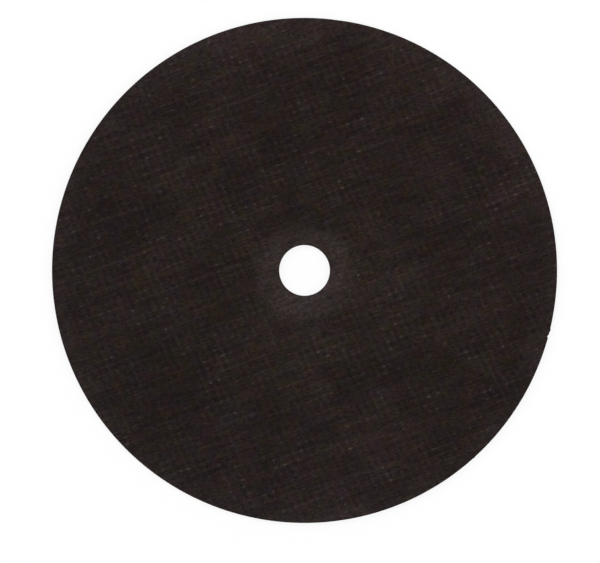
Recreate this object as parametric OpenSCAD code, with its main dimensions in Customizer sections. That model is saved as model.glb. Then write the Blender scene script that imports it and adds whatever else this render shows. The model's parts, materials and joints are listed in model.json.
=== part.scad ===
// Flat abrasive cut-off wheel with a plain arbor bore.
// Woven mesh is pressed into both faces, and its threads stand up as low straight ridges.
// A smooth ring around the bore takes the clamping flanges.
// The wheel lies on its lower face, with its axis along Z through the origin.

/* [Wheel] */
// Outside diameter of the wheel
wheel_d = 254; // [150:1:406]
// Thickness over the ridges
wheel_t = 2.4; // [1.2:0.1:6]

/* [Arbor bore] */
// Diameter of the bore
bore_d = 25.4; // [10:0.1:32]

/* [Clamping ring] */
// Diameter of the smooth ring around the bore
ring_d = 45; // [36:1:100]

/* [Mesh] */
// Distance from one thread to the next
thread_pitch = 3.66; // [2.5:0.01:6]
// Direction that the threads run in, turned from +X
thread_angle = 20; // [0:1:179]
// Distance of the middle thread from the wheel's axis
thread_shift = -0.44; // [-1:0.01:1]
// Width of a thread's ridge at its foot
foot_w = 1.5; // [0.8:0.1:2.2]
// Width of a thread's ridge at its crest
crest_w = 0.6; // [0.2:0.1:0.7]
// Height of a thread's ridge over the face beside it
ridge_h = 0.1; // [0.02:0.01:0.3]

/* [Rim chip] */
// Place of the chip around the rim, turned from +X
chip_angle = 345; // [0:1:359]
// Length of the chip along the rim
chip_l = 1.8; // [0.6:0.1:8]
// Depth of the chip into the rim
chip_depth = 0.6; // [0.2:0.1:3]

/* [Hidden] */
$fn = 120;

// Length by which a cutting shape passes the surface that it breaks through
past = 1;
// Half the width of the ridged slab, which reaches past the rim
slab_half = wheel_d / 2 + past;
// Number of threads on each side of the middle one, enough to pass the rim
threads_aside = floor((slab_half - abs(thread_shift) - foot_w / 2) / thread_pitch);

// Middle of each thread across the slab, from the lowest to the highest
thread_places = [for (i = [-threads_aside : threads_aside]) i * thread_pitch + thread_shift];

// Outline of one ridge from low to high, with its foot at one height and its crest at another
function ridge(place, foot, crest) = [
    [place - foot_w / 2, foot],
    [place - crest_w / 2, crest],
    [place + crest_w / 2, crest],
    [place + foot_w / 2, foot]
];

// Points of a list in the opposite order
function reversed(points) = [for (i = [len(points) - 1 : -1 : 0]) points[i]];

// Outline of one face of the slab, with a ridge at each thread
function ridged_face(foot, crest) = [
    [-slab_half, foot],
    for (place = thread_places) each ridge(place, foot, crest),
    [slab_half, foot]
];

// Slab with ridges on both faces, as wide and as long as the wheel and a little more
module ridged_slab() {
    lower = ridged_face(ridge_h, 0);
    upper = ridged_face(wheel_t - ridge_h, wheel_t);
    rotate([0, 0, thread_angle])
        rotate([90, 0, 90])
            linear_extrude(height = 2 * slab_half, center = true)
                polygon(concat(lower, reversed(upper)));
}

// Round blank with the mesh showing on both faces
module meshed_disc() {
    intersection() {
        cylinder(d = wheel_d, h = wheel_t);
        ridged_slab();
    }
}

// Smooth ring around the bore, flush with the crests of the ridges
module clamping_ring() {
    cylinder(d = ring_d, h = wheel_t);
}

module arbor_bore() {
    translate([0, 0, -past])
        cylinder(d = bore_d, h = wheel_t + 2 * past);
}

// Notch broken out of the rim, with one steep side and one long slope
module rim_chip() {
    rim = wheel_d / 2;
    bottom = [rim - chip_depth, -chip_l / 2];
    steep_side = [rim + past, -chip_l / 2];
    slope_side = [rim + past, chip_l / 2 + chip_l * past / chip_depth];
    rotate([0, 0, chip_angle])
        translate([0, 0, -past])
            linear_extrude(height = wheel_t + 2 * past)
                polygon([bottom, steep_side, slope_side]);
}

module wheel() {
    color([0.16, 0.13, 0.12])
        difference() {
            union() {
                meshed_disc();
                clamping_ring();
            }
            arbor_bore();
            rim_chip();
        }
}

wheel();
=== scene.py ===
"""Looks of a flat abrasive cut-off wheel.

Woven glass mesh is pressed into both faces, so two sets of threads cross there as low ridges, with a
knuckle at each crossing. The rim is broken grain with one chip and two burrs, the bore is plain, and the
clamping flanges have rubbed a pale ring around it.
"""
import json
import math
from collections import namedtuple

import bmesh
import bpy
from mathutils import Matrix, Vector, noise


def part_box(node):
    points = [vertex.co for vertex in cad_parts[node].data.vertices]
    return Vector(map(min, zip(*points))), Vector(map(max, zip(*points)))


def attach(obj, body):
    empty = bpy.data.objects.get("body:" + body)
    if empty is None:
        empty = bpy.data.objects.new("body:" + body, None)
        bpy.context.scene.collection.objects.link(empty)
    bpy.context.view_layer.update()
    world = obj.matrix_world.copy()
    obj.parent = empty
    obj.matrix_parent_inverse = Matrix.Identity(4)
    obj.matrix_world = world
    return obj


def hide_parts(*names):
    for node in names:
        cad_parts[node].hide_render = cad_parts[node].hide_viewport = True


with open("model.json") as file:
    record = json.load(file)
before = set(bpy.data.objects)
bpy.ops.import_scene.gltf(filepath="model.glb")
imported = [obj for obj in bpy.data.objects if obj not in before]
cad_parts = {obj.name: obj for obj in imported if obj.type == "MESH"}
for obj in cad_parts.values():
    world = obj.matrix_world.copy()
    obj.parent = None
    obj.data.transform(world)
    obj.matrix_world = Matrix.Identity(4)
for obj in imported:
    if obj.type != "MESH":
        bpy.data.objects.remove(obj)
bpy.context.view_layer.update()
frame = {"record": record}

MM = 0.001

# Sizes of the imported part
wheel_low, wheel_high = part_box("wheel")
RIM_RADIUS = (wheel_high.x - wheel_low.x) / 2
THICKNESS = wheel_high.z - wheel_low.z
mounts = {mount["name"]: mount for mount in frame["record"]["mounts"]}
BORE_RADIUS = mounts["arbor_bore"]["dims"]["r_mm"] * MM
MIDDLE_RADIUS = (BORE_RADIUS + RIM_RADIUS) / 2

# Both sets of threads: the direction across them, their pitch, how far the middle one lies off the axis,
# how far they bow and bend at the rim, and half the width of a ridge at its foot
Threads = namedtuple("Threads", "across pitch shift bow bend foot")
WARP = Threads(math.radians(110), 3.66 * MM, -0.44 * MM, 0.0, 0.0, 0.75 * MM)
WEFT = Threads(math.radians(24.1), 3.69 * MM, 0.94 * MM, 2.3 * MM, -0.7 * MM, 0.85 * MM)

# Relief of the faces: its depth, the share that the threads and their knuckles stand up, how evenly the
# mesh was pressed in, and small dents
RELIEF = 0.10 * MM
WARP_SHARE = 0.8
WEFT_SHARE = 0.6
KNUCKLE_SHARE = 0.2
PRESSED_SIZE = 14 * MM
PRESSED_SHARE = 0.8
PRESSED_SWING = 0.3
DENT_SIZE = 2.1 * MM
DENT_SHARE = 0.12

# Smooth ring around the bore, where little of the relief is left
RING_RADIUS = 22.5 * MM
RING_EDGE = 1.5 * MM
RING_WOBBLE = 3.0 * MM
RING_RELIEF = 0.08

# Net over each face: the lines that it has along each thread, and the strip that it leaves free by a wall
LINES_A_THREAD = 3
NET_MARGIN = 1.0 * MM

# Material slots of the wheel
FACE, RIM, BORE = range(3)

# The two walls: the slot, the radius, which way leads out of the stone, the number of segments and rows,
# how deep the grain is broken and how far the corners are worn
Wall = namedtuple("Wall", "slot radius outward segments rows grit wear")
RIM_WALL = Wall(RIM, RIM_RADIUS, 1, 2400, 8, 0.10 * MM, 0.12 * MM)
BORE_WALL = Wall(BORE, BORE_RADIUS, -1, 240, 4, 0.03 * MM, 0.03 * MM)
GRIT_SIZE = 0.5 * MM
WEAR_SIZE = 1.5 * MM
CORNER_REACH = 0.01 * MM

# Marks on the rim: a chip, a ragged stretch, and burrs with half their length and their height
CHIP_ANGLE = math.radians(345)
CHIP_LENGTH = 1.8 * MM
CHIP_DEPTH = 0.6 * MM
RAGGED_ANGLE = math.radians(82.5)
RAGGED_REACH = 8 * MM
RAGGED_DEPTH = 0.15 * MM
Burr = namedtuple("Burr", "angle reach height")
BURRS = (
    Burr(math.radians(346.3), 1.5 * MM, 0.28 * MM),
    Burr(math.radians(312.2), 0.8 * MM, 0.18 * MM),
)

# Colours, in linear light
OLIVE_RESIN = (0.0152, 0.0124, 0.0050, 1)
PLUM_RESIN = (0.0162, 0.0081, 0.0132, 1)
RUSTY_RESIN = (0.0200, 0.0093, 0.0073, 1)
SMOKY_RESIN = (0.0112, 0.0110, 0.0108, 1)
DARK_RESIN = (0.0105, 0.0082, 0.0076, 1)
GLASS_FIBRE = (0.0400, 0.0310, 0.0280, 1)
BROKEN_GRAIN = (0.0620, 0.0500, 0.0440, 1)
DUST = (0.0330, 0.0252, 0.0246, 1)
WHITE = (1, 1, 1, 1)

# Noise: how much finer noise lies on the coarse, and the part of its range that is stretched to 0 to 1
SOFT_DETAIL = 2.0
ROUGH_DETAIL = 3.0
FINE_DETAIL = 5.0
NOISE_RANGE = (0.25, 0.75)

# Threads under the resin: how many pitches off its crest a thread starts to show and shows best, how much
# of the fibre's colour comes through, how long the clear stretches are, how much always shows, and how far
# apart neighbours are in the noise
Show = namedtuple("Show", "edge core share")
WARP_SHOW = Show(0.21, 0.03, 0.16)
WEFT_SHOW = Show(0.38, 0.05, 0.14)
CLEAR_LENGTH = 14 * MM
CLEAR_LEAST = 0.3
NEIGHBOURS_APART = 7.31

# Filaments in each thread: their width and length, and how much they change the tone
FILAMENT_SIZE = (0.22 * MM, 6 * MM, 0.22 * MM)
FILAMENT_TONE = 0.45

# Places where the resin over the threads is thin
THIN_SIZE = 17 * MM
THIN_LEAST = 0.3

# Bare floats of the warp over the weft: how far they slip along the thread and half their length, both in
# pitches, how much their length varies, how rare they are and how strongly they show
FLOAT_SLIP = 0.5
FLOAT_REACH = 0.35
FLOAT_SWING = 0.8
FLOAT_RARITY = 7.0
FLOAT_SHARE = 1.6

# Grain in the resin, painted sheen in bands along the warp, and slow changes over the face: the size of
# each and how much it changes the tone
FACE_TONE = 1.075
STREAK_SIZE = (0.95 * MM, 2.0 * MM, 0.95 * MM)
STREAK_TONE = 0.55
STRAND_SIZE = (0.85 * MM, 9.0 * MM, 0.85 * MM)
STRAND_TONE = 0.30
GRAIN_SIZE = 1.0 * MM
GRAIN_TONE = 0.40
GRIT_TONE = 0.75
SHEEN_BAND_SIZE = (4 * MM, 30 * MM, 4 * MM)
SHEEN_BAND_TONE = 0.34
BLOTCH_SIZE = 7 * MM
BLOTCH_TONE = 0.10
PATCH_SIZE = 30 * MM
PATCH_TONE = 0.26
HUE_SIZE = 5 * MM
HUE_TURN = 1.0

# Slow drift of the resin's hue: to olive in the middle and plum at the rim, and to rust in one direction
PLUM_MIDDLE = -0.09
PLUM_RIM = 0.15
RUST_DRIFT = 0.11
RUST_DIRECTION = math.radians(50)

# Pale ring that the flanges rubbed: where it lies, how it fades and wavers, how dusty and how pale it is,
# and how much fibre it covers. Then the dusty edge along the rim
RUBBED_X = -0.9 * MM
RUBBED_Y = -1.6 * MM
RUBBED_RADIUS = 23.8 * MM
RUBBED_EDGE = 5.4 * MM
RUBBED_WOBBLE = 5 * MM
RUBBED_SHARE = 0.40
RUBBED_TONE = 0.22
RUBBED_COVER = 0.5
DUSTY_EDGE = 13 * MM
DUSTY_SHARE = 0.22

# Painted sheen and patches of tone on the upper face: where they are, how far they reach and how they
# change the tone. The lighter places along the upper arc of the rim are painted sheen; the others are
# lighter and darker patches of tone, the darker ones mostly in the lower half
SheenAndTonePatch = namedtuple("SheenAndTonePatch", "x y reach tone")
SHEEN_AND_TONE_PATCHES = (
    SheenAndTonePatch(-33 * MM, 117 * MM, 27 * MM, 0.46),
    SheenAndTonePatch(-66 * MM, 104 * MM, 18 * MM, 0.16),
    SheenAndTonePatch(0 * MM, 121 * MM, 30 * MM, 0.26),
    SheenAndTonePatch(30 * MM, 121 * MM, 26 * MM, 0.22),
    SheenAndTonePatch(72 * MM, 100 * MM, 28 * MM, 0.36),
    SheenAndTonePatch(101 * MM, 74 * MM, 30 * MM, 0.32),
    SheenAndTonePatch(112 * MM, 42 * MM, 26 * MM, 0.22),
    SheenAndTonePatch(-12 * MM, -38 * MM, 36 * MM, 0.38),
    SheenAndTonePatch(30 * MM, -98 * MM, 44 * MM, 0.22),
    SheenAndTonePatch(34 * MM, 2 * MM, 30 * MM, 0.16),
    SheenAndTonePatch(19 * MM, 4 * MM, 15 * MM, 0.24),
    SheenAndTonePatch(8 * MM, 92 * MM, 34 * MM, -0.14),
    SheenAndTonePatch(-15 * MM, 60 * MM, 24 * MM, -0.14),
    SheenAndTonePatch(-68 * MM, -57 * MM, 30 * MM, -0.19),
    SheenAndTonePatch(68 * MM, -69 * MM, 32 * MM, -0.19),
    SheenAndTonePatch(40 * MM, -37 * MM, 22 * MM, -0.14),
    SheenAndTonePatch(-98 * MM, 24 * MM, 28 * MM, -0.16),
    SheenAndTonePatch(-80 * MM, -84 * MM, 28 * MM, -0.20),
    SheenAndTonePatch(106 * MM, -61 * MM, 24 * MM, -0.26),
)

# Gloss and fine relief of the faces
FACE_SPECULAR = 0.05
FACE_ROUGHNESS = 0.85
FIBRE_SHINE = 0.3
FACE_BUMP = 0.15 * MM
FACE_BUMP_STRENGTH = 0.9
WARP_RAISED = 0.5
WEFT_RAISED = 0.4
FILAMENT_RAISED = 0.5
GRAIN_RAISED = 0.65

# Broken grain on the rim and in the bore: its size, which of the grains are bare, where their edges lie,
# how bare they are on each wall, how they lie in patches, their gloss and their fine relief
BROKEN_SIZE = 0.42 * MM
BROKEN_BARE = (0.35, 1.1)
BROKEN_EDGE = (0.66, 0.42)
RIM_BARE = 0.75
BORE_BARE = 0.4
BROKEN_PATCH_SIZE = 5 * MM
BROKEN_PATCH_SWING = 0.5
BROKEN_PATCH_TONE = 0.5
BROKEN_FINE_TONE = 1.2
BROKEN_RAISED = 0.6
BROKEN_SPECULAR = 0.2
BROKEN_ROUGHNESS = 0.9
BROKEN_SHINE = 0.4
BROKEN_BUMP = 0.15 * MM
BROKEN_BUMP_STRENGTH = 0.8

# Studio: a white floor that is plainer near the wheel, where it keeps the shadow, and an even dome
FLOOR_SIZE = 12.0
FLOOR_COLOUR = (0.97, 0.97, 0.97, 1)
FLOOR_WHITE = 0.85
FLOOR_FADE = 30 * MM
DOME_LEVEL = 0.5

# Softboxes: where they stand, the length of their sides, and their level against a white card's
Softbox = namedtuple("Softbox", "name place size level")
SOFTBOXES = (
    Softbox("key_softbox", (-1.0, 0.9, 1.1), 1.2, 3.4),
    Softbox("fill_softbox", (1.2, -0.5, 0.9), 1.2, 2.6),
)

# Camera: its height over the wheel, and the wheel's size and place in the photograph, in pixels
CAMERA_HEIGHT = 1.5
PHOTO_WIDTH_PX = 600
RIM_RADIUS_PX = 252.75
OFF_RIGHT_PX = 4.54
OFF_UP_PX = 11.09


def bow_at(threads, along):
    """How far threads bow sideways at a distance along them. Takes numbers, or values of a material."""
    reach = along / RIM_RADIUS
    return reach * reach * (threads.bow + threads.bend * reach)


def thread_count(threads, across, along):
    """Number of the thread at a place, whole on its crest and a half midway. Takes what bow_at takes."""
    return (across - threads.shift - bow_at(threads, along)) / threads.pitch


def lie_of(threads):
    """Unit vectors across and along a set of threads."""
    across = Vector((math.cos(threads.across), math.sin(threads.across)))
    return across, across.orthogonal()


def crossing(warp_count, weft_count):
    """Place on a face where a line along the warp meets a line along the weft."""
    warp_across, _ = lie_of(WARP)
    weft_across, weft_along = lie_of(WEFT)
    lines = Matrix((warp_across, weft_across)).inverted()
    warp_line = WARP.shift + warp_count * WARP.pitch
    weft_line = WEFT.shift + weft_count * WEFT.pitch
    straight = lines @ Vector((warp_line, weft_line))
    return lines @ Vector((warp_line, weft_line + bow_at(WEFT, straight.dot(weft_along))))


def net_line(threads, index, threads_aside):
    """Count of a line of the net. Each thread has a line along its crest and one along each foot."""
    thread, line = divmod(index, LINES_A_THREAD)
    return thread - threads_aside + (line - 1) * threads.foot / threads.pitch


def thread_net(bm):
    """Flat net over the whole face, with its lines along the crests and feet of the threads."""
    aside = math.ceil(RIM_RADIUS / WARP.pitch) + 1
    segments = LINES_A_THREAD * (2 * aside + 1) - 1
    bmesh.ops.create_grid(bm, x_segments=segments, y_segments=segments, size=segments / 2)
    for vert in bm.verts:
        warp_index = round(vert.co.x + segments / 2)
        weft_index = round(vert.co.y + segments / 2)
        place = crossing(net_line(WARP, warp_index, aside), net_line(WEFT, weft_index, aside))
        vert.co = place.to_3d()


def is_off_the_net(vert):
    """Whether a vertex lies off the wheel, or too near one of its walls."""
    return not BORE_RADIUS + NET_MARGIN < vert.co.xy.length < RIM_RADIUS - NET_MARGIN


def trim_net(bm):
    """Takes away what lies off the wheel, and corners that hang on by a single point."""
    spare = [vert for vert in bm.verts if is_off_the_net(vert)]
    while spare:
        bmesh.ops.delete(bm, geom=spare, context="VERTS")
        spare = [vert for vert in bm.verts if sum(edge.is_boundary for edge in vert.link_edges) > 2]
        spare += [vert for vert in bm.verts if not vert.link_faces]


def open_edges(bm, wall):
    """Open edges of the faces that are nearest to a wall."""
    is_outer = wall is RIM_WALL
    edges = [edge for edge in bm.edges if edge.is_boundary]
    return [edge for edge in edges if (edge.verts[0].co.xy.length > MIDDLE_RADIUS) == is_outer]


def fill_to_wall(bm, wall):
    """Closes the gap between the net's stepped edge and the round edge of a wall."""
    stepped_edges = open_edges(bm, wall)
    ring = bmesh.ops.create_circle(bm, segments=wall.segments, radius=wall.radius)["verts"]
    round_edges = list({edge for vert in ring for edge in vert.link_edges})
    bmesh.ops.triangle_fill(bm, use_beauty=True, edges=stepped_edges + round_edges)


def is_upright(edge):
    """Whether an edge leads from one face of the wheel to the other."""
    low, high = sorted(vert.co.z for vert in edge.verts)
    return high - low > THICKNESS / 2


def build_wall(bm, wall):
    """Bridges the round edges of both faces, in rows."""
    made = bmesh.ops.bridge_loops(bm, edges=open_edges(bm, wall))
    for face in made["faces"]:
        face.material_index = wall.slot
    upright = {edge for face in made["faces"] for edge in face.edges if is_upright(edge)}
    bmesh.ops.subdivide_edges(bm, edges=list(upright), cuts=wall.rows - 1, use_grid_fill=True)


def verts_in(bm, slot):
    """Vertices of the faces in a material slot."""
    return {vert for face in bm.faces if face.material_index == slot for vert in face.verts}


def ease(value, low, high):
    """0 at low, 1 at high and a smooth rise between. high may be under low."""
    share = min(1.0, max(0.0, (value - low) / (high - low)))
    return share * share * (3 - 2 * share)


def lumps(place, size):
    """Soft noise from 0 to 1 with lumps of a given size."""
    return 0.5 + 0.5 * noise.noise(place / size)


def crest(threads, place):
    """Height of the nearest thread at a place, from 0 beside it to 1 on its crest."""
    across, along = lie_of(threads)
    count = thread_count(threads, place.dot(across), place.dot(along))
    off = abs(count - round(count)) * threads.pitch
    return max(0.0, 1 - off / threads.foot)


def face_depth(place, side):
    """Depth of a face below its highest level. side keeps the two faces apart."""
    warp, weft = crest(WARP, place), crest(WEFT, place)
    raised = max(WARP_SHARE * warp, WEFT_SHARE * weft) + KNUCKLE_SHARE * warp * weft
    spot = Vector((place.x, place.y, side))
    pressed = noise.noise(spot / PRESSED_SIZE)
    dented = noise.noise(spot / DENT_SIZE)
    depth = 1 - raised * (PRESSED_SHARE + PRESSED_SWING * pressed) + DENT_SHARE * dented
    ring_edge = RING_RADIUS + RING_WOBBLE * pressed
    beyond_ring = ease(place.length, ring_edge - RING_EDGE, ring_edge + RING_EDGE)
    depth *= RING_RELIEF + (1 - RING_RELIEF) * beyond_ring
    return RELIEF * min(1.0, max(0.0, depth))


def press_faces(bm):
    """Presses the mesh's relief into both faces."""
    for vert in verts_in(bm, FACE):
        if vert.co.z > THICKNESS / 2:
            vert.co.z = THICKNESS - face_depth(vert.co.xy, 1)
        else:
            vert.co.z = face_depth(vert.co.xy, 0)


def along_rim(angle, start):
    """Distance along the rim from one direction to another, the short way round."""
    return ((angle - start + math.pi) % (2 * math.pi) - math.pi) * RIM_RADIUS


def rim_marks(angle):
    """Depth of the chip, the burrs and the ragged stretch of the rim."""
    share = along_rim(angle, CHIP_ANGLE) / CHIP_LENGTH
    depth = CHIP_DEPTH * (0.5 - share) if abs(share) <= 0.5 else 0.0
    for burr in BURRS:
        depth -= burr.height * ease(abs(along_rim(angle, burr.angle)), burr.reach, 0.0)
    ragged = ease(abs(along_rim(angle, RAGGED_ANGLE)), RAGGED_REACH, 0.0)
    return depth + RAGGED_DEPTH * ragged * lumps(Vector((angle * RIM_RADIUS, 0, 0)), GRIT_SIZE)


def is_corner(vert):
    """Whether a vertex lies where a wall meets a face."""
    return min(vert.co.z, THICKNESS - vert.co.z) < CORNER_REACH


def wear_wall(bm, wall):
    """Breaks up a wall by its grain, wears its corners and, on the rim, cuts the marks."""
    for vert in verts_in(bm, wall.slot):
        angle = math.atan2(vert.co.y, vert.co.x)
        depth = wall.grit * lumps(vert.co, GRIT_SIZE)
        if wall is RIM_WALL:
            depth += rim_marks(angle)
        if is_corner(vert):
            depth += wall.wear * lumps(vert.co, WEAR_SIZE)
        reach = wall.radius - wall.outward * depth
        vert.co.xy = Vector((math.cos(angle), math.sin(angle))) * reach


def shade_smooth(bm):
    """Smooth faces, with sharp edges where two finishes meet."""
    for face in bm.faces:
        face.smooth = True
    for edge in bm.edges:
        edge.smooth = len({face.material_index for face in edge.link_faces}) == 1


def wheel_mesh():
    """The whole wheel as one closed mesh."""
    bm = bmesh.new()
    thread_net(bm)
    trim_net(bm)
    fill_to_wall(bm, RIM_WALL)
    fill_to_wall(bm, BORE_WALL)
    copied = bmesh.ops.duplicate(bm, geom=bm.verts[:] + bm.edges[:] + bm.faces[:])["geom"]
    upper_verts = [part for part in copied if isinstance(part, bmesh.types.BMVert)]
    bmesh.ops.translate(bm, verts=upper_verts, vec=(0, 0, THICKNESS))
    build_wall(bm, RIM_WALL)
    build_wall(bm, BORE_WALL)
    wear_wall(bm, RIM_WALL)
    wear_wall(bm, BORE_WALL)
    press_faces(bm)
    bmesh.ops.recalc_face_normals(bm, faces=bm.faces)
    shade_smooth(bm)
    mesh = bpy.data.meshes.new("cutoff_wheel")
    bm.to_mesh(mesh)
    bm.free()
    return mesh


class Value:
    """A number, colour or vector that varies over a surface. Sums on numbers add Math nodes."""

    def __init__(self, nodes, socket):
        self.nodes = nodes
        self.socket = socket

    def __add__(self, other):
        return self.nodes.maths("ADD", self, other)

    def __radd__(self, other):
        return self.nodes.maths("ADD", other, self)

    def __sub__(self, other):
        return self.nodes.maths("SUBTRACT", self, other)

    def __rsub__(self, other):
        return self.nodes.maths("SUBTRACT", other, self)

    def __mul__(self, other):
        return self.nodes.maths("MULTIPLY", self, other)

    def __rmul__(self, other):
        return self.nodes.maths("MULTIPLY", other, self)

    def __truediv__(self, other):
        return self.nodes.maths("DIVIDE", self, other)

    def __rtruediv__(self, other):
        return self.nodes.maths("DIVIDE", other, self)

    def __pow__(self, other):
        return self.nodes.maths("POWER", self, other)

    def __rpow__(self, other):
        return self.nodes.maths("POWER", other, self)


class Nodes:
    """Nodes of one material or world."""

    def __init__(self, owner):
        owner.use_nodes = True
        self.tree = owner.node_tree

    def add(self, kind, settings, sockets, output=0):
        """Adds a node, sets it up, fills or links its sockets, and gives one of its outputs."""
        made = self.tree.nodes.new(kind)
        for name, setting in settings.items():
            setattr(made, name, setting)
        for name, value in sockets.items():
            self.feed(made.inputs[name], value)
        return Value(self, made.outputs[output])

    def feed(self, socket, value):
        """Links a value to a socket, or sets the socket to a constant."""
        if isinstance(value, Value):
            self.tree.links.new(value.socket, socket)
        else:
            socket.default_value = value

    def show(self, shader):
        """Puts a shader on the surface or the world, in place of the one that it came with."""
        output = next(node for node in self.tree.nodes if node.bl_idname.startswith("ShaderNodeOutput"))
        self.tree.nodes.remove(output.inputs["Surface"].links[0].from_node)
        self.feed(output.inputs["Surface"], shader)

    def maths(self, operation, first, second=0.0):
        return self.add("ShaderNodeMath", {"operation": operation}, {0: first, 1: second})

    def place(self):
        return self.add("ShaderNodeTexCoord", {}, {}, "Object")

    def split(self, vector, letter):
        return self.add("ShaderNodeSeparateXYZ", {}, {"Vector": vector}, letter)

    def join(self, x, y, z):
        return self.add("ShaderNodeCombineXYZ", {}, {"X": x, "Y": y, "Z": z})

    def turned(self, place, angle, size=(1.0, 1.0, 1.0)):
        """The place in axes that are turned by an angle around Z, in steps of a size along each of them."""
        sockets = {"Vector": place, "Rotation": (0, 0, angle), "Scale": size}
        return self.add("ShaderNodeMapping", {"vector_type": "TEXTURE"}, sockets)

    def distance(self, place, x=0.0, y=0.0):
        """Distance from an upright line through a point of the faces, or through their middle."""
        sockets = {"Vector": place, "Location": (-x, -y, 0), "Scale": (1, 1, 0)}
        moved = self.add("ShaderNodeMapping", {}, sockets)
        return self.add("ShaderNodeVectorMath", {"operation": "LENGTH"}, {0: moved}, "Value")

    def rise(self, value, low, high):
        """0 at low, 1 at high and a smooth rise between. high may be under low."""
        sockets = {"Value": value, "From Min": low, "From Max": high}
        return self.add("ShaderNodeMapRange", {"interpolation_type": "SMOOTHSTEP"}, sockets)

    def clouds(self, place, size=1.0, detail=SOFT_DETAIL):
        """Soft noise from 0 to 1 with features of a given size."""
        sockets = {"Vector": place, "Scale": 1 / size, "Detail": detail}
        return self.rise(self.add("ShaderNodeTexNoise", {}, sockets), *NOISE_RANGE)

    def grains(self, place, size):
        """Grains of a given size: a chance tone for each, and how far a place is from a grain's middle."""
        sockets = {"Vector": place, "Scale": 1 / size}
        tone = self.split(self.add("ShaderNodeTexVoronoi", {}, sockets, "Color"), "X")
        return tone, self.add("ShaderNodeTexVoronoi", {}, sockets, "Distance")

    def chances(self, place):
        """Three chance numbers from 0 to 1 for each place."""
        settings = {"noise_dimensions": "3D"}
        colour = self.add("ShaderNodeTexWhiteNoise", settings, {"Vector": place}, "Color")
        return [self.split(colour, letter) for letter in "XYZ"]

    def mix(self, share, first, second):
        settings = {"data_type": "RGBA", "clamp_factor": True}
        return self.add("ShaderNodeMix", settings, {0: share, 6: first, 7: second}, 2)

    def blend(self, share, first, second):
        return self.add("ShaderNodeMixShader", {}, {0: share, 1: first, 2: second})

    def scale(self, colour, share):
        return self.add("ShaderNodeVectorMath", {"operation": "SCALE"}, {0: colour, "Scale": share})

    def bump(self, height, distance, strength):
        sockets = {"Height": height, "Distance": distance, "Strength": strength}
        return self.add("ShaderNodeBump", {}, sockets)


def around(share, tone):
    """Factor that swings around 1 as a share goes from 0 to 1."""
    return 1 + (share - 0.5) * tone


def new_finish(name, specular):
    """A new material, its nodes and the sockets of its shader."""
    material = bpy.data.materials.new(name)
    nodes = Nodes(material)
    sockets = nodes.tree.nodes["Principled BSDF"].inputs
    sockets["Specular IOR Level"].default_value = specular
    return material, nodes, sockets


Pattern = namedtuple("Pattern", "number off crest clear filaments")


def thread_pattern(nodes, place, threads, show):
    """Pattern of a set of threads.

    It gives the number of the nearest thread, how many pitches off its crest a place lies, how much the
    place belongs to the thread, how clear the thread is there, and its filaments.
    """
    lie = nodes.turned(place, threads.across)
    along = nodes.split(lie, "Y")
    count = thread_count(threads, nodes.split(lie, "X"), along)
    number = nodes.maths("ROUND", count)
    off = count - number
    shown = nodes.rise(nodes.maths("ABSOLUTE", off), show.edge, show.core)
    height = nodes.split(place, "Z") / MM
    stretch = nodes.join(number * NEIGHBOURS_APART, along / CLEAR_LENGTH, height)
    clear = CLEAR_LEAST + (1 - CLEAR_LEAST) * nodes.clouds(stretch)
    filaments = nodes.clouds(nodes.turned(place, threads.across, FILAMENT_SIZE), detail=ROUGH_DETAIL)
    return Pattern(number, off, shown, clear, filaments)


def bare_fibre(nodes, place, upper, warp, weft):
    """How much of the fibre comes through the resin, in lines along the threads and in bare floats."""
    thin = nodes.clouds(place, THIN_SIZE, ROUGH_DETAIL)
    lines = warp.crest * warp.clear * WARP_SHOW.share + weft.crest * weft.clear * WEFT_SHOW.share
    chance, slip, reach = nodes.chances(nodes.join(warp.number, weft.number, upper))
    from_middle = nodes.maths("ABSOLUTE", weft.off - (slip - 0.5) * FLOAT_SLIP)
    lies_bare = nodes.rise(from_middle, FLOAT_REACH * around(reach, FLOAT_SWING), 0.0)
    floats = warp.crest * lies_bare * chance ** FLOAT_RARITY * FLOAT_SHARE
    return lines * (THIN_LEAST + thin) + floats * thin


def painted_sheen_and_tone(nodes, place):
    """Change of tone by the painted sheen along the upper rim and by lighter and darker patches."""
    total = 0.0
    for tone_patch in SHEEN_AND_TONE_PATCHES:
        distance = nodes.distance(place, tone_patch.x, tone_patch.y)
        total = total + tone_patch.tone * nodes.rise(distance, tone_patch.reach, 0.0)
    return total


def mottled_resin(nodes, place):
    """Brown-black that drifts between olive, plum, rusty and smoky."""
    plum = nodes.clouds(place, HUE_SIZE) + PLUM_MIDDLE
    plum = plum + PLUM_RIM * nodes.rise(nodes.distance(place), 0.0, RIM_RADIUS)
    rust = nodes.clouds(nodes.turned(place, HUE_TURN), HUE_SIZE)
    rust = rust + nodes.split(nodes.turned(place, RUST_DIRECTION), "X") / RIM_RADIUS * RUST_DRIFT
    mottle = nodes.mix(plum, OLIVE_RESIN, PLUM_RESIN)
    bloom = nodes.mix(rust, SMOKY_RESIN, RUSTY_RESIN)
    return nodes.mix(0.5, mottle, bloom)


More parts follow.
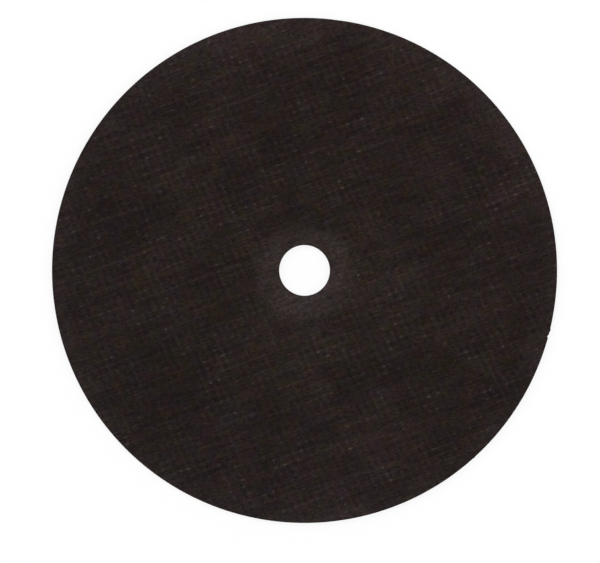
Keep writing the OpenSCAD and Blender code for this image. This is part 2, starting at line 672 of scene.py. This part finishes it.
def mesh_face_finish():
    """Dark resin over woven mesh, with broken threads, glinting floats, grain, a rubbed ring, painted sheen
    and patches of tone.
    """
    material, nodes, sockets = new_finish("mesh_face", FACE_SPECULAR)
    place = nodes.place()
    upper = nodes.maths("ROUND", nodes.split(place, "Z") / THICKNESS)
    warp = thread_pattern(nodes, place, WARP, WARP_SHOW)
    weft = thread_pattern(nodes, place, WEFT, WEFT_SHOW)
    between = (1 - warp.crest) * (1 - weft.crest)
    blotch = nodes.clouds(place, BLOTCH_SIZE)
    streak = nodes.clouds(nodes.turned(place, WARP.across, STREAK_SIZE), detail=FINE_DETAIL)
    strand = nodes.clouds(nodes.turned(place, WARP.across, STRAND_SIZE), detail=FINE_DETAIL)
    # Painted sheen: lighter and darker bands along the warp, put into the colour.
    sheen_band = nodes.clouds(nodes.turned(place, WARP.across, SHEEN_BAND_SIZE))
    grain = nodes.clouds(place, GRAIN_SIZE, FINE_DETAIL)
    grit, off_grit = nodes.grains(place, GRIT_SIZE)

    from_ring = nodes.distance(place, RUBBED_X, RUBBED_Y) + (blotch - 0.5) * RUBBED_WOBBLE
    rubbed = nodes.rise(from_ring, RUBBED_RADIUS + RUBBED_EDGE, RUBBED_RADIUS - RUBBED_EDGE)
    dusty = nodes.rise(nodes.distance(place), RIM_RADIUS - DUSTY_EDGE, RIM_RADIUS)
    bare = bare_fibre(nodes, place, upper, warp, weft) * (1 - RUBBED_COVER * rubbed)

    # The upper face gets painted sheen along the upper arc of the rim, and lighter and darker patches of
    # tone.
    tone = (FACE_TONE + painted_sheen_and_tone(nodes, place) * upper) * (1 + RUBBED_TONE * rubbed)
    tone = tone * around(streak, STREAK_TONE) * around(strand, STRAND_TONE) * around(grain, GRAIN_TONE)
    tone = tone * around(blotch, BLOTCH_TONE) * around(nodes.clouds(place, PATCH_SIZE), PATCH_TONE)
    tone = tone * around(sheen_band, SHEEN_BAND_TONE) * around(grit, GRIT_TONE * between)
    raised = (grain + strand + (grit - off_grit) * between) * GRAIN_RAISED
    for threads, height in ((warp, WARP_RAISED), (weft, WEFT_RAISED)):
        tone = tone * around(threads.filaments, FILAMENT_TONE * threads.crest)
        raised = raised + threads.crest * (height + threads.filaments * FILAMENT_RAISED)

    colour = nodes.mix(bare, mottled_resin(nodes, place), GLASS_FIBRE)
    colour = nodes.mix(rubbed * RUBBED_SHARE + dusty * DUSTY_SHARE, colour, DUST)
    nodes.feed(sockets["Base Color"], nodes.scale(colour, tone))
    nodes.feed(sockets["Roughness"], FACE_ROUGHNESS - bare * FIBRE_SHINE)
    nodes.feed(sockets["Normal"], nodes.bump(raised, FACE_BUMP, FACE_BUMP_STRENGTH))
    return material


def broken_grain_finish(name, bare_share):
    """Broken grain in dark resin, as on the rim and in the bore."""
    material, nodes, sockets = new_finish(name, BROKEN_SPECULAR)
    place = nodes.place()
    grain, off_grain = nodes.grains(place, BROKEN_SIZE)
    patch = nodes.clouds(place, BROKEN_PATCH_SIZE, ROUGH_DETAIL)
    fine = nodes.clouds(place, BROKEN_SIZE / 2, FINE_DETAIL)
    bare = nodes.rise(grain + (patch - 0.5) * BROKEN_PATCH_SWING, *BROKEN_BARE)
    bare = bare * nodes.rise(off_grain, *BROKEN_EDGE)
    colour = nodes.mix(bare * bare_share, DARK_RESIN, BROKEN_GRAIN)
    tone = around(patch, BROKEN_PATCH_TONE) * around(fine, BROKEN_FINE_TONE)
    raised = (grain + fine) * BROKEN_RAISED - off_grain
    nodes.feed(sockets["Base Color"], nodes.scale(colour, tone))
    nodes.feed(sockets["Roughness"], BROKEN_ROUGHNESS - bare * BROKEN_SHINE)
    nodes.feed(sockets["Normal"], nodes.bump(raised, BROKEN_BUMP, BROKEN_BUMP_STRENGTH))
    return material


def dressed_wheel():
    """The wheel with a finish for its faces, its rim and its bore."""
    wheel = bpy.data.objects.new("cutoff_wheel", wheel_mesh())
    bpy.context.scene.collection.objects.link(wheel)
    wheel.data.materials.append(mesh_face_finish())
    wheel.data.materials.append(broken_grain_finish("broken_grain_rim", RIM_BARE))
    wheel.data.materials.append(broken_grain_finish("moulded_bore", BORE_BARE))
    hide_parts("wheel")
    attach(wheel, "root")


def seen_directly(nodes):
    """1 for what the camera sees itself, in a mirror or through glass, and 0 for soft light."""
    seen = 0.0
    for ray in ("Is Camera Ray", "Is Glossy Ray", "Is Transmission Ray"):
        seen = seen + nodes.add("ShaderNodeLightPath", {}, {}, ray)
    return nodes.maths("MINIMUM", seen, 1.0)


def white_floor():
    """Wide pale floor that shows white and keeps a faint shadow around the wheel."""
    bm = bmesh.new()
    bmesh.ops.create_grid(bm, x_segments=1, y_segments=1, size=FLOOR_SIZE / 2)
    mesh = bpy.data.meshes.new("floor")
    bm.to_mesh(mesh)
    bm.free()
    floor = bpy.data.objects.new("floor", mesh)
    bpy.context.scene.collection.objects.link(floor)
    material = bpy.data.materials.new("white_floor")
    nodes = Nodes(material)
    card = nodes.add("ShaderNodeBsdfDiffuse", {}, {"Color": FLOOR_COLOUR})
    white = nodes.add("ShaderNodeEmission", {}, {"Color": WHITE, "Strength": 1.0})
    away = nodes.rise(nodes.distance(nodes.place()), RIM_RADIUS, RIM_RADIUS + FLOOR_FADE)
    white_share = FLOOR_WHITE + (1 - FLOOR_WHITE) * away
    nodes.show(nodes.blend(seen_directly(nodes) * white_share, card, white))
    mesh.materials.append(material)


def studio_world():
    """Even soft light from all round, seen as white."""
    world = bpy.data.worlds.new("studio")
    bpy.context.scene.world = world
    nodes = Nodes(world)
    soft = nodes.add("ShaderNodeBackground", {}, {"Color": WHITE, "Strength": DOME_LEVEL})
    white = nodes.add("ShaderNodeBackground", {}, {"Color": WHITE, "Strength": 1.0})
    nodes.show(nodes.blend(seen_directly(nodes), soft, white))


def light_softbox(softbox):
    """Square lamp that faces the wheel."""
    light = bpy.data.lights.new(softbox.name, "AREA")
    light.size = softbox.size
    light.energy = softbox.level * math.pi * softbox.size ** 2
    lamp = bpy.data.objects.new(softbox.name, light)
    lamp.location = softbox.place
    lamp.rotation_euler = (-Vector(softbox.place)).to_track_quat("-Z", "Y").to_euler()
    bpy.context.scene.collection.objects.link(lamp)


def photo_camera():
    """Camera straight above, with the wheel as large and as far off the middle as in the photograph."""
    data = bpy.data.cameras.new("photo_camera")
    camera = bpy.data.objects.new("photo_camera", data)
    pixel = RIM_RADIUS / RIM_RADIUS_PX
    data.lens = data.sensor_width * CAMERA_HEIGHT / (PHOTO_WIDTH_PX * pixel)
    camera.location = (-OFF_RIGHT_PX * pixel, -OFF_UP_PX * pixel, THICKNESS + CAMERA_HEIGHT)
    bpy.context.scene.collection.objects.link(camera)
    bpy.context.scene.camera = camera


dressed_wheel()
white_floor()
studio_world()
for softbox in SOFTBOXES:
    light_softbox(softbox)
photo_camera()
bpy.context.scene.view_settings.view_transform = "Standard"
